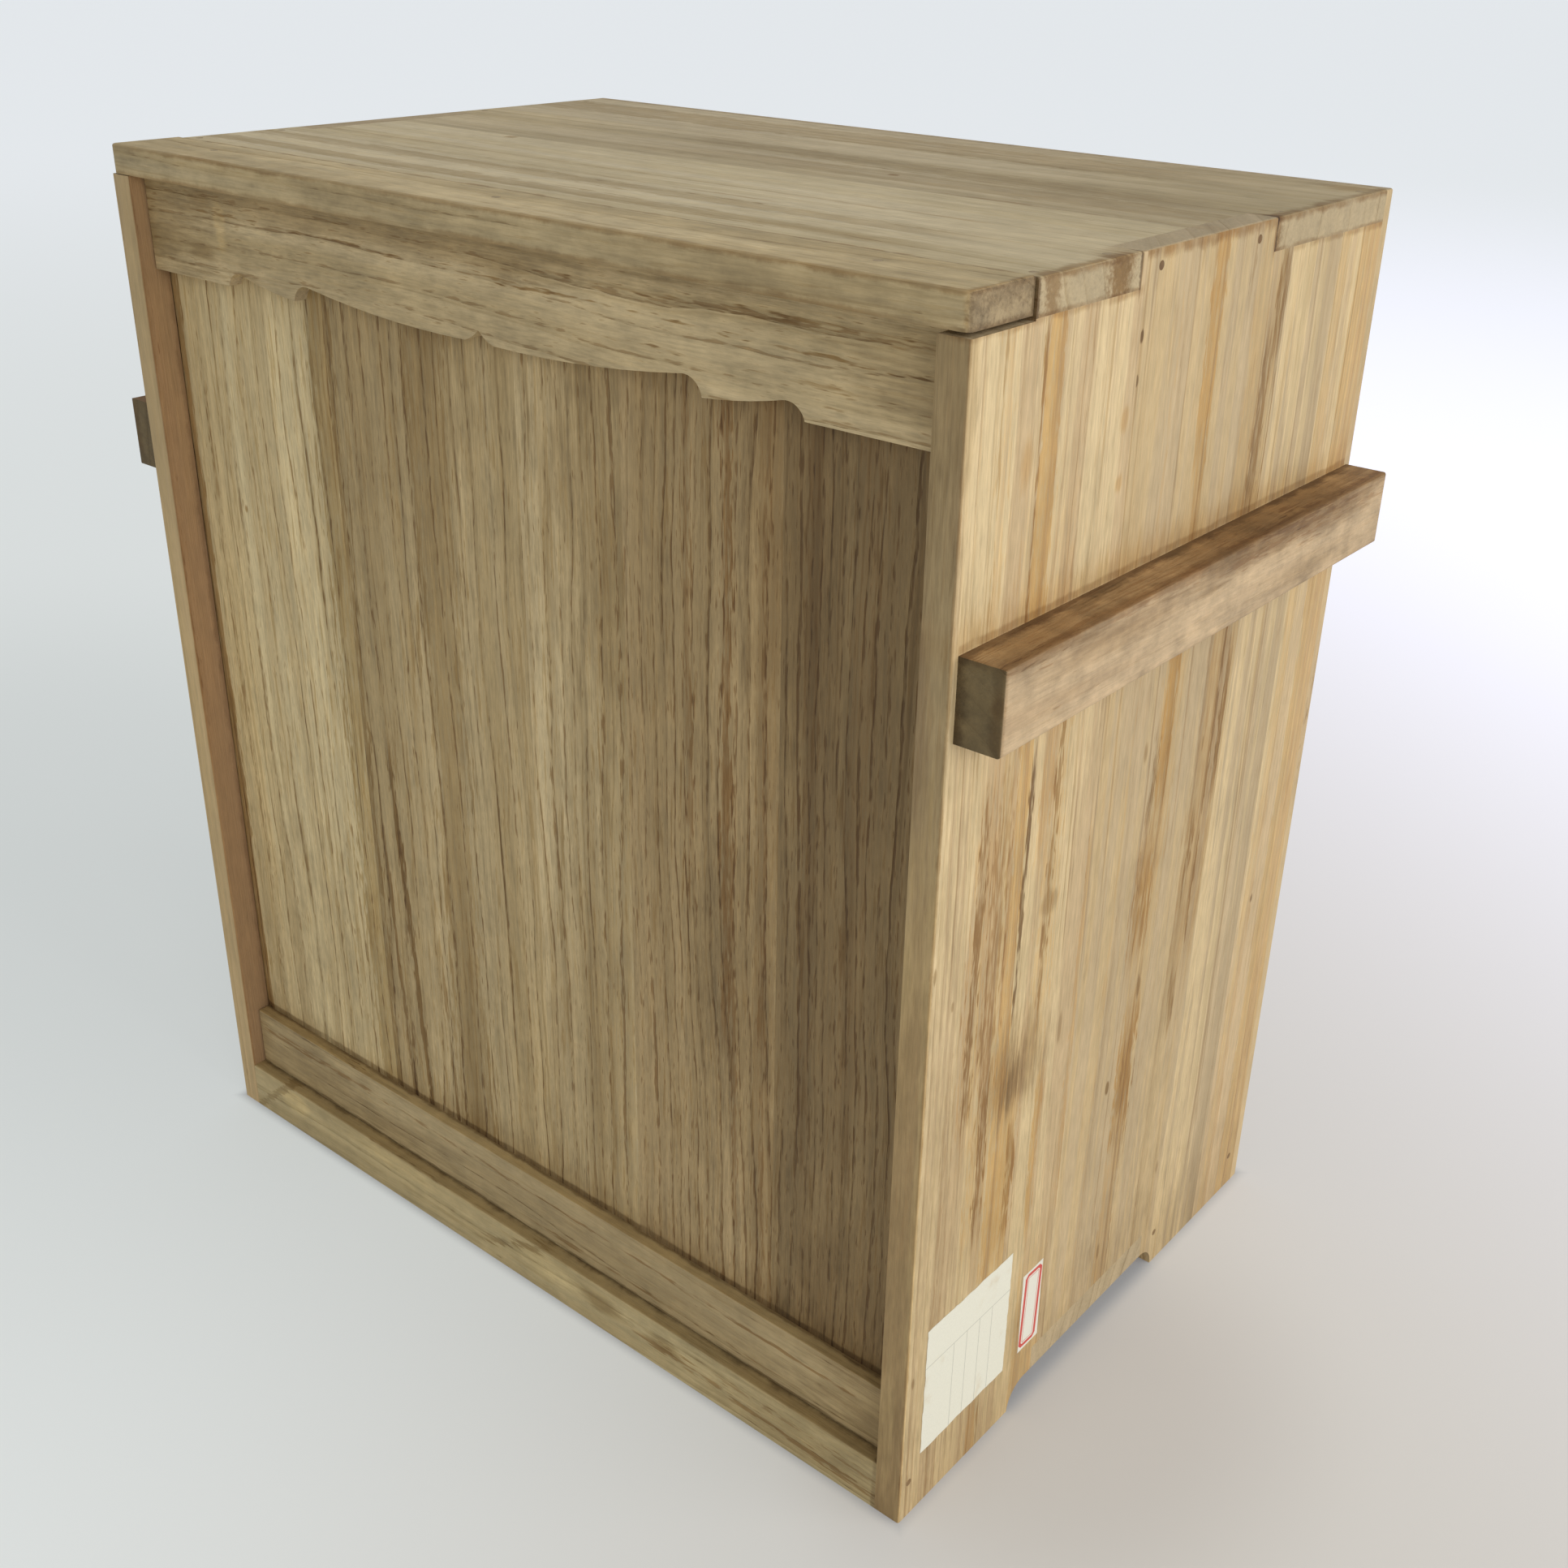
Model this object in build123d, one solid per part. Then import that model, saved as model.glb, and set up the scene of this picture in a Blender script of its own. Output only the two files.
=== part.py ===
"""Paulownia storage box for tea utensils, with a front lid that lifts out upwards.

Frame: X to the right, Y from the front edge to the back, Z up. The origin is on the
floor, at the centre of the box's footprint. All sizes are in millimetres.
"""
from build123d import *
import os

# Case
width = 364.0
depth = 242.0
height = 404.0
board = 10.0
bottom_board = 10.5
back_board = 5.0
foot_height = 10.0
edge_round = 0.8

# Cut-out between the feet, measured past each end of the bottom board's finger
arch_front_reach = 14.0
arch_back_reach = 10.0

# Front rail and lid
rail_thickness = 9.5
lid_recess = 10.5
lid_thickness = 10.0
lid_bevel_width = 5.0
lid_bevel_depth = 1.4
groove_depth = 4.0
groove_clearance = 0.3
lid_edge_clearance = 0.5
lid_seat_clearance = 0.3
trim_recess = 5.5
trim_clearance = 0.8
batten_height = 26.2

# Cap, the strip along the front edge of the top that comes away with the lid
cap_depth = 28.0
cap_thickness = 9.8
cap_proud = 0.5
cap_back_clearance = 0.3
cap_end_inset = 0.8
cap_left_gap = 0.3
cap_right_gap = 1.3
cap_corner_round = 2.5

# Valance under the cap, and its cusped lower edge, measured from the middle outwards
valance_height = 32.2
cusp_rise = 4.4
cusp_half_width = 6.5
cusp_foot = 0.6
cusp_hollow = 0.6
belly_length = 76.0
inner_crest_rise = 5.3
inner_hook_length = 8.5
slope_length = 29.0
outer_crest_rise = 4.5
outer_hook_length = 7.5
belly_sag = 1.6
slope_sag = 0.6
hook_reach = 2.4
hook_share = 0.75

# Handle bars
handle_height = 25.0
handle_thickness = 15.0
handle_end_inset = 3.0
handle_top = 312.0
handle_round = 1.2

# Wooden pegs
peg_radius = 1.3
peg_length = 20.0
peg_clearance = 0.05
peg_end_inset = 10.5
cap_peg_spread = 142.0
back_peg_spacing = 92.0
back_peg_length = 16.0

# Edge-glued planks: each seam as a share of its board's width at both ends of the grain
right_side_seam_shares = [(0.373, 0.343), (0.695, 0.726), (0.857, 0.873)]
left_side_seam_shares = [(0.318, 0.330), (0.671, 0.652)]
top_seam_shares = [(0.511, 0.511), (0.755, 0.755)]
bottom_seam_shares = [(0.36, 0.37), (0.69, 0.68)]
back_seam_shares = [(0.262, 0.255), (0.510, 0.522), (0.764, 0.758)]
lid_seam_shares = [(0.262, 0.262), (0.526, 0.526), (0.654, 0.654), (0.832, 0.832)]

# Paper labels on the right side: size, then the place of the lower front corner
paper = 0.2
large_label = (49.0, 53.0)
large_label_place = (10.4, 24.0)
small_label = (12.6, 35.0)
small_label_place = (68.4, 25.4)
small_label_tilt = 1.5

# Places worked out from the sizes above
front = -depth / 2
back_outer = depth / 2
back_inner = back_outer - back_board
side_outer = width / 2
side_inner = side_outer - board
finger = (depth - back_board) / 3
finger_start = front + finger
finger_end = finger_start + finger
floor_top = foot_height + bottom_board
top_under = height - board
cap_top = height + cap_proud
cap_under = cap_top - cap_thickness
cap_back = front + cap_depth
lid_front = front + lid_recess
lid_back = lid_front + lid_thickness
lid_under = floor_top + lid_seat_clearance
lid_half_width = side_inner + groove_depth - lid_edge_clearance
trim_front = front + trim_recess
trim_half_width = side_inner - trim_clearance
tongue = groove_depth - lid_edge_clearance
bevel_at_groove = lid_bevel_depth * lid_bevel_width / (lid_bevel_width + tongue)
groove_front = lid_front + bevel_at_groove - groove_clearance
groove_back = lid_back + groove_clearance


def block(x0, x1, y0, y1, z0, z1):
    """A box given by its two corners."""
    size = Box(abs(x1 - x0), abs(y1 - y0), abs(z1 - z0))
    return Pos((x0 + x1) / 2, (y0 + y1) / 2, (z0 + z1) / 2) * size


def rod(start, direction, radius, length):
    """A round bar that starts at a point and runs along a direction."""
    plane = Plane(origin=start, z_dir=direction)
    return extrude(plane * Circle(radius), amount=length)


def edges_at(part, axis, places, tolerance=0.01):
    """Edges along one axis whose other coordinates match the given places."""
    found = []
    for edge in part.edges().filter_by(axis):
        centre = edge.center()
        if any(
            all(abs(getattr(centre, k) - v) < tolerance for k, v in place.items())
            for place in places
        ):
            found.append(edge)
    return found


def planks(whole, width_run, grain_run, seam_shares):
    """Cuts a board into its planks along its slanted seams.

    Each run is a unit vector with the two places between which the board lies
    along it: one run across the planks, and one along their grain.
    """
    across, low, high = width_run
    grain, grain_low, grain_high = grain_run
    span = high - low
    cuts = [(-board, -board)] + [(a * span, b * span) for a, b in seam_shares]
    cuts.append((span + board, span + board))
    plane = Plane(origin=(0, 0, 0), x_dir=across, z_dir=across.cross(grain))
    pieces = []
    for (a0, b0), (a1, b1) in zip(cuts, cuts[1:]):
        corners = [
            (low + a0, grain_low - board),
            (low + a1, grain_low - board),
            (low + b1, grain_high + board),
            (low + b0, grain_high + board),
        ]
        outline = plane * make_face(Polyline(*corners, close=True))
        pieces.append(whole & extrude(outline, amount=width + height, both=True))
    return pieces


def save(name, part):
    export_step(part, f"parts/{name}.step")


def save_planks(name, pieces):
    for number, piece in enumerate(pieces, start=1):
        save(f"{name}_plank_{number}", piece)


def side_peg_places():
    """Pegs through the side boards: y, z of each, as seen on the right side."""
    top_middle = height - board / 2
    bottom_middle = foot_height + bottom_board / 2
    return [
        (finger_start + peg_end_inset, top_middle),
        (finger_end - peg_end_inset, top_middle),
        (front + rail_thickness / 2, bottom_middle),
        (finger_end + peg_end_inset, bottom_middle),
        (back_inner - peg_end_inset / 2, bottom_middle),
    ]


def side_pegs(radius):
    pegs = []
    for sign in (-1, 1):
        for y, z in side_peg_places():
            pegs.append(rod((sign * side_outer, y, z), (-sign, 0, 0), radius, peg_length))
    return pegs


def top_pegs(radius):
    """Pegs down through the top board's fingers into the side boards."""
    places = [
        cap_back + peg_end_inset / 2,
        finger_start - peg_end_inset,
        finger_end + peg_end_inset,
        back_inner - peg_end_inset,
    ]
    x = side_outer - board / 2
    return [
        rod((sign * x, y, height), (0, 0, -1), radius, peg_length)
        for sign in (-1, 1)
        for y in places
    ]


def back_pegs(radius):
    """Pegs through the back board into the sides, the top and the bottom board."""
    pegs = []
    middle = (floor_top + top_under) / 2
    for sign in (-1, 1):
        for row in (-1.5, -0.5, 0.5, 1.5):
            start = (sign * (side_outer - board / 2), back_outer, middle + row * back_peg_spacing)
            pegs.append(rod(start, (0, -1, 0), radius, back_peg_length))
    edges = [(0, 0)] + back_seam_shares + [(1, 1)]
    for left, right in zip(edges, edges[1:]):
        middle_share = (sum(left) + sum(right)) / 4
        x = (middle_share - 0.5) * width
        for z in (foot_height + bottom_board / 2, height - board / 2):
            pegs.append(rod((x, back_outer, z), (0, -1, 0), radius, back_peg_length))
    return pegs


def cap_pegs(radius):
    """Pegs down through the cap into the upper end of the lid's panel."""
    y = (lid_front + lid_back) / 2
    return [
        rod((x, y, cap_top), (0, 0, -1), radius, peg_length)
        for x in (-cap_peg_spread, 0, cap_peg_spread)
    ]


def bored(part, pegs):
    for peg in pegs:
        part -= peg
    return part


def arch():
    """The cut-out between the feet: straight, with a quarter round at each end."""
    reach = width
    y0 = finger_start - arch_front_reach + foot_height
    y1 = finger_end + arch_back_reach - foot_height
    hollow = block(-reach, reach, y0, y1, -foot_height, foot_height)
    for y in (y0, y1):
        hollow += rod((-reach, y, 0), (1, 0, 0), foot_height, 2 * reach)
    return hollow


def side_board(sign, cap_gap):
    """One side with its feet, fingers, cap notch, lid groove and peg holes."""
    outer = sign * side_outer
    whole = block(sign * side_inner, outer, front, back_inner, 0, height)
    whole = fillet(edges_at(whole, Axis.Z, [{"X": outer, "Y": front}]), edge_round)
    whole = fillet(edges_at(whole, Axis.Y, [{"X": outer, "Z": height}]), edge_round)
    past = sign * (side_outer + board)
    near = sign * (side_inner - board)
    whole -= block(near, past, front - board, cap_back, cap_under - cap_gap, height + board)
    whole -= block(near, past, cap_back, finger_start, top_under, height + board)
    whole -= block(near, past, finger_end, back_outer, top_under, height + board)
    whole -= block(near, past, finger_start, finger_end, foot_height, floor_top)
    groove_wall = sign * (side_inner + groove_depth)
    whole -= block(near, groove_wall, groove_front, groove_back, floor_top, height + board)
    return bored(whole - arch(), side_pegs(hole) + top_pegs(hole) + back_pegs(hole))


def top_board():
    """The top, with a finger at each corner and the side boards' finger between."""
    whole = block(-side_outer, side_outer, cap_back, back_inner, top_under, height)
    ends = [{"X": sign * side_outer, "Z": height} for sign in (-1, 1)]
    whole = fillet(edges_at(whole, Axis.Y, ends), edge_round)
    for sign in (-1, 1):
        past = sign * (side_outer + board)
        whole -= block(sign * side_inner, past, finger_start, finger_end, 0, height + board)
    return bored(whole, side_pegs(hole) + top_pegs(hole) + back_pegs(hole))


def floor_board():
    """The bottom board, with a finger through each side between the feet."""
    whole = block(
        -side_outer, side_outer, front + rail_thickness, back_inner, foot_height, floor_top
    )
    for sign in (-1, 1):
        past = sign * (side_outer + board)
        whole -= block(sign * side_inner, past, front, finger_start, 0, height)
        whole -= block(sign * side_inner, past, finger_end, back_outer, 0, height)
    return bored(whole, side_pegs(hole) + back_pegs(hole))


def back_panel():
    whole = block(-side_outer, side_outer, back_inner, back_outer, 0, height)
    corners = [{"X": sign * side_outer, "Y": back_outer} for sign in (-1, 1)]
    whole = fillet(edges_at(whole, Axis.Z, corners), edge_round)
    whole = fillet(edges_at(whole, Axis.X, [{"Y": back_outer, "Z": height}]), edge_round)
    return bored(whole, back_pegs(hole))


def front_rail():
    rail = block(-side_inner, side_inner, front, front + rail_thickness, 0, floor_top)
    rail = fillet(edges_at(rail, Axis.X, [{"Y": front, "Z": floor_top}]), edge_round)
    return bored(rail, side_pegs(hole))


def handle(sign):
    """A plain bar along the side, with its outer edges eased."""
    outer = sign * (side_outer + handle_thickness)
    bar = block(
        sign * side_outer,
        outer,
        front + handle_end_inset,
        back_outer - handle_end_inset,
        handle_top - handle_height,
        handle_top,
    )
    return fillet(bar.faces().sort_by(Axis.X)[-1 if sign > 0 else 0].edges(), handle_round)


def lid_panel():
    """The lid's panel, its front bevelled towards the edges that run in the grooves."""
    inner = lid_half_width - tongue - lid_bevel_width
    section = make_face(
        Polyline(
            (-inner, lid_front),
            (inner, lid_front),
            (lid_half_width, lid_front + lid_bevel_depth),
            (lid_half_width, lid_back),
            (-lid_half_width, lid_back),
            (-lid_half_width, lid_front + lid_bevel_depth),
            close=True,
        )
    )
    whole = Pos(0, 0, lid_under) * extrude(section, amount=cap_under - lid_under)
    return bored(whole, cap_pegs(hole))


def lid_cap():
    half = side_outer - cap_end_inset
    cap = block(-half, half, front, cap_back - cap_back_clearance, cap_under, cap_top)
    corners = [{"X": sign * half, "Y": front} for sign in (-1, 1)]
    cap = fillet(edges_at(cap, Axis.Z, corners), cap_corner_round)
    cap = fillet(cap.faces().sort_by(Axis.Z)[-1].edges(), edge_round)
    return bored(cap, cap_pegs(hole))


def valance_side(sign, low):
    """Lower edge of one half of the valance, from its middle cusp to its end."""
    def at(out, rise):
        return (sign * out, low + rise)

    inner_crest = cusp_half_width + belly_length
    inner_point = inner_crest + inner_hook_length
    outer_crest = inner_point + slope_length
    outer_point = outer_crest + outer_hook_length
    tip = at(0, cusp_rise)
    shoulder = at(cusp_half_width, cusp_foot)
    tip_flank = at(cusp_half_width / 2, (cusp_rise + cusp_foot) / 2 - cusp_hollow)
    inner = at(inner_crest, inner_crest_rise)
    belly = at((cusp_half_width + inner_crest) / 2, (cusp_foot + inner_crest_rise) / 2 - belly_sag)
    inner_low = at(inner_point, 0)
    inner_hook = at(inner_point - hook_reach, inner_crest_rise * hook_share)
    outer = at(outer_crest, outer_crest_rise)
    slope = at((inner_point + outer_crest) / 2, outer_crest_rise / 2 - slope_sag)
    outer_low = at(outer_point, 0)
    outer_hook = at(outer_point - hook_reach, outer_crest_rise * hook_share)
    end = at(trim_half_width, 0)
    return [
        ThreePointArc(tip, tip_flank, shoulder),
        ThreePointArc(shoulder, belly, inner),
        ThreePointArc(inner, inner_hook, inner_low),
        ThreePointArc(inner_low, slope, outer),
        ThreePointArc(outer, outer_hook, outer_low),
        Line(outer_low, end),
        Line(end, (sign * trim_half_width, cap_under)),
    ]


def lid_valance():
    """The cusped apron in front of the panel, under the cap."""
    low = cap_under - valance_height
    edges = valance_side(1, low) + valance_side(-1, low)
    edges.append(Line((-trim_half_width, cap_under), (trim_half_width, cap_under)))
    upright = Plane(origin=(0, lid_front, 0), x_dir=(1, 0, 0), z_dir=(0, -1, 0))
    face = upright * make_face(edges)
    return extrude(face, amount=lid_front - trim_front)


def lid_batten():
    batten = block(
        -trim_half_width, trim_half_width, trim_front, lid_front, lid_under, lid_under + batten_height
    )
    top_edge = [{"Y": trim_front, "Z": lid_under + batten_height}]
    return fillet(edges_at(batten, Axis.X, top_edge), edge_round / 2)


def label(size, place, tilt):
    """A sheet of paper on the right side; place is its lower front corner."""
    sheet = extrude(Rectangle(*size), amount=paper)
    corner = Pos(side_outer, front + place[0] + size[0] / 2, place[1] + size[1] / 2)
    facing = Plane(origin=(0, 0, 0), x_dir=(0, 1, 0), z_dir=(1, 0, 0))
    return corner * facing.location * Rot(0, 0, tilt) * sheet


hole = peg_radius + peg_clearance
to_back = Vector(0, 1, 0)
to_right = Vector(1, 0, 0)
up = Vector(0, 0, 1)

os.makedirs("parts", exist_ok=True)

across_depth = (to_back, front, back_inner)
across_width = (to_right, -side_outer, side_outer)
across_lid = (to_right, -lid_half_width, lid_half_width)
up_the_case = (up, 0, height)
up_the_lid = (up, lid_under, cap_under)

right_side = side_board(1, cap_right_gap)
left_side = side_board(-1, cap_left_gap)
save_planks("right_side", planks(right_side, across_depth, up_the_case, right_side_seam_shares))
save_planks("left_side", planks(left_side, across_depth, up_the_case, left_side_seam_shares))
save_planks("top", planks(top_board(), across_depth, across_width, top_seam_shares))
save_planks("bottom", planks(floor_board(), across_depth, across_width, bottom_seam_shares))
save_planks("back", planks(back_panel(), across_width, up_the_case, back_seam_shares))
save_planks("lid", planks(lid_panel(), across_lid, up_the_lid, lid_seam_shares))
save("front_rail", front_rail())
save("right_handle", handle(1))
save("left_handle", handle(-1))
save("lid_cap", lid_cap())
save("lid_valance", lid_valance())
save("lid_batten", lid_batten())
save("side_pegs", Compound(children=side_pegs(peg_radius)))
save("top_pegs", Compound(children=top_pegs(peg_radius)))
save("back_pegs", Compound(children=back_pegs(peg_radius)))
save("lid_cap_pegs", Compound(children=cap_pegs(peg_radius)))
save("large_paper_label", label(large_label, large_label_place, 0))
save("small_paper_label", label(small_label, small_label_place, small_label_tilt))
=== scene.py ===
"""The looks of a pale unfinished wooden storage box, on a plain floor in soft light.

Sizes and places are in millimetres unless a name says otherwise, in the frame of the
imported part: X to the right, Y from the front to the back, Z up.
"""
import math
import bpy
from mathutils import Euler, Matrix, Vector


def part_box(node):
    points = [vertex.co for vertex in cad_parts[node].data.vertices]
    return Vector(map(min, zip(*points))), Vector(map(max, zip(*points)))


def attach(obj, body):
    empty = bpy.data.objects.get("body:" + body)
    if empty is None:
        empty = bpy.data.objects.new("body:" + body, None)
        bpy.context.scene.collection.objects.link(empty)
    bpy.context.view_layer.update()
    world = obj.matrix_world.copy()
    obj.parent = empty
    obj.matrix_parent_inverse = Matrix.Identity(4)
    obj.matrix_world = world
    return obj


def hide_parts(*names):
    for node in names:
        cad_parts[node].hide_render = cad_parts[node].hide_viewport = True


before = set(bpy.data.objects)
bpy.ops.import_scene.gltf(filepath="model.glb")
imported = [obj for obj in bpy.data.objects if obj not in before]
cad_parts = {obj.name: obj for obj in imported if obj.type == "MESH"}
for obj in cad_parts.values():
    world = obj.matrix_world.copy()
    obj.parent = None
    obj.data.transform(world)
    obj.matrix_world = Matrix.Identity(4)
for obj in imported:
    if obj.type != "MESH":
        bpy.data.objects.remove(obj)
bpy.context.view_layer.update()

MM = 0.001
IN_MM = (1000.0, 1000.0, 1000.0)
NO_SHIFT = (0.0, 0.0, 0.0)
X, Y, Z = 0, 1, 2

# A board's own axes: across the grain, along it and through the thickness
ACROSS, ALONG, THROUGH = 0, 1, 2
SIDE = (Y, Z, X)
FLAT = (Y, X, Z)
UPRIGHT = (X, Z, Y)
TRIM = (Z, X, Y)
BAR = (Z, Y, X)

# Edges of the case and the lid that marks are placed from
HALF_DEPTH = 121.0
FRONT = -HALF_DEPTH
CASE_RIGHT = 182.0
CASE_INSIDE = 172.0
CASE_TOP = 404.0
TOP_BOARD_UNDER = 394.0
FINGER_FRONT = -42.0
FINGER_BACK = 37.0
LID_LEFT = -CASE_INSIDE
LID_FACE = -110.5
CAP_TOP = 404.5
CAP_UNDER = 394.7
CAP_BACK = -93.0
RAIL_BACK = -111.5
BAR_TOP = 312.0
BAR_FRONT = -118.0
BAR_FACE = 195.5

# Noise lies about 0.5. The spread brings it to about -1 to 1, and a seed moves it
NOISE_SPREAD = 5
SEED_STEPS = (17.3, 5.9, 11.1)

# The photographed view
CAMERA_PLACE = (418.8, -475.6, 487.2)
CAMERA_TURN_DEG = (63.394, -1.076, 39.505)
LENS = 41.07
SENSOR = 36.0
SHIFT = (-0.0084, 0.0019)

# Soft light: a large lamp like a window on the right, and a weak one from the front
WORLD_LEVEL = 0.50
WORLD_COLOUR = (0.97, 0.985, 1.0)
BACKDROP_COLOUR = (0.76, 0.80, 0.84, 1.0)
WINDOW = {"place": (2100, 500, 1200), "size": 1900, "watts": 25, "colour": (1.0, 0.98, 0.95)}
GRAZING = {"place": (1500, -900, 900), "size": 500, "watts": 4, "colour": (1.0, 0.99, 0.97)}
LAMP_AIM = (0, 0, 200)

# What the camera adds to the floor that it sees, and what the floor sends to the object
FLOOR_TINT = (0.40, 0.40, 0.39, 1.0)
FLOOR_BOUNCE = (0.80, 0.80, 0.79, 1.0)
FLOOR_LEFT_GLOW = (0.45, 0.48, 0.48, 1.0)
# painted warm shade and reflection of the box's lit side, on the floor to its right
FLOOR_WARM_SHADE_GLOW = (0.31, 0.29, 0.26, 1.0)
# painted shadows on the floor: by the right side's foot, left of the box and under it
FLOOR_SHADE_GLOW = (0.23, 0.205, 0.18, 1.0)
FLOOR_LEFT_SHADOW_GLOW = (0.39, 0.42, 0.42, 1.0)
FLOOR_UNDER_SHADOW_GLOW = (0.06, 0.07, 0.09, 1.0)
FLOOR_BACK_GLOW = (0.79, 0.79, 0.93, 1.0)
FLOOR_FAR_GLOW = (0.56, 0.59, 0.62, 1.0)


def srgb(red, green, blue):
    """A screen colour, 0 to 255, as the linear colour that a shader takes."""
    def linear(channel):
        share = channel / 255
        return share / 12.92 if share <= 0.04045 else ((share + 0.055) / 1.055) ** 2.4

    return (linear(red), linear(green), linear(blue), 1.0)


class Value:
    """A socket of a finish, with sums that add Math nodes."""

    def __init__(self, finish, socket):
        self.finish = finish
        self.socket = socket

    def sum(self, operation, *values):
        return self.finish.node("Math", {"operation": operation}, dict(enumerate(values)))

    def __add__(self, other):
        return self.sum("ADD", self, other)

    def __sub__(self, other):
        return self.sum("SUBTRACT", self, other)

    def __rsub__(self, other):
        return self.sum("SUBTRACT", other, self)

    def __mul__(self, other):
        return self.sum("MULTIPLY", self, other)

    def __truediv__(self, other):
        return self.sum("DIVIDE", self, other)

    def __pow__(self, other):
        return self.sum("POWER", self, other)

    def __abs__(self):
        return self.sum("ABSOLUTE", self)

    __radd__ = __add__
    __rmul__ = __mul__

    def floor(self):
        return self.sum("FLOOR", self)

    def fraction(self):
        return self.sum("FRACT", self)

    def least(self, other):
        return self.sum("MINIMUM", self, other)

    def most(self, other):
        return self.sum("MAXIMUM", self, other)

    def step(self, start, end):
        """Rises smoothly from 0 at start to 1 at end, or falls where end is the lower."""
        ranges = {"Value": self, "From Min": start, "From Max": end}
        return self.finish.node("MapRange", {"interpolation_type": "SMOOTHSTEP"}, ranges)


class Finish:
    """A material, made from nodes on the piece's own place in millimetres."""

    def __init__(self, name):
        self.material = bpy.data.materials.new(name)
        self.material.use_nodes = True
        self.tree = self.material.node_tree
        self.shader = self.tree.nodes["Principled BSDF"]
        place = self.tree.nodes.new("ShaderNodeTexCoord")
        self.object_place = Value(self, place.outputs["Object"])
        self.object_normal = Value(self, place.outputs["Normal"])

    def feed(self, socket, value):
        if isinstance(value, Value):
            self.tree.links.new(value.socket, socket)
        else:
            socket.default_value = value

    def node(self, kind, settings, values, output=0):
        made = self.tree.nodes.new("ShaderNode" + kind)
        for key, setting in settings.items():
            setattr(made, key, setting)
        for key, value in values.items():
            self.feed(made.inputs[key], value)
        return Value(self, made.outputs[output])

    def axes(self, vector):
        """The three numbers of a vector."""
        first = self.node("SeparateXYZ", {}, {0: vector})
        outputs = first.socket.node.outputs
        return [Value(self, outputs[axis]) for axis in (X, Y, Z)]

    def vector(self, first, second, third):
        return self.node("CombineXYZ", {}, {0: first, 1: second, 2: third})

    def scaled(self, vector, scales, shift):
        settings = {"operation": "MULTIPLY_ADD"}
        return self.node("VectorMath", settings, {0: vector, 1: scales, 2: shift})

    def noise(self, vector, scales, seed, detail=2.0, roughness=0.5):
        """Soft noise about 0.5, with its own scale along each axis, in turns per millimetre."""
        shift = tuple(seed * step for step in SEED_STEPS)
        values = {
            "Vector": self.scaled(vector, scales, shift),
            "Scale": 1.0,
            "Detail": detail,
            "Roughness": roughness,
        }
        return self.node("TexNoise", {}, values)

    def mix(self, under, over, share, blend="MIX"):
        settings = {"data_type": "RGBA", "blend_type": blend}
        return self.node("Mix", settings, {0: share, 6: under, 7: over}, output=2)

    def set(self, **sockets):
        """Sets the shader's own sockets; a name's underscores stand for blanks."""
        for key, value in sockets.items():
            self.feed(self.shader.inputs[key.replace("_", " ")], value)

    def bump(self, height, depth):
        settings = {"Strength": 1.0, "Distance": depth * MM, "Height": height}
        self.set(Normal=self.node("Bump", {}, settings))


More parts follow.
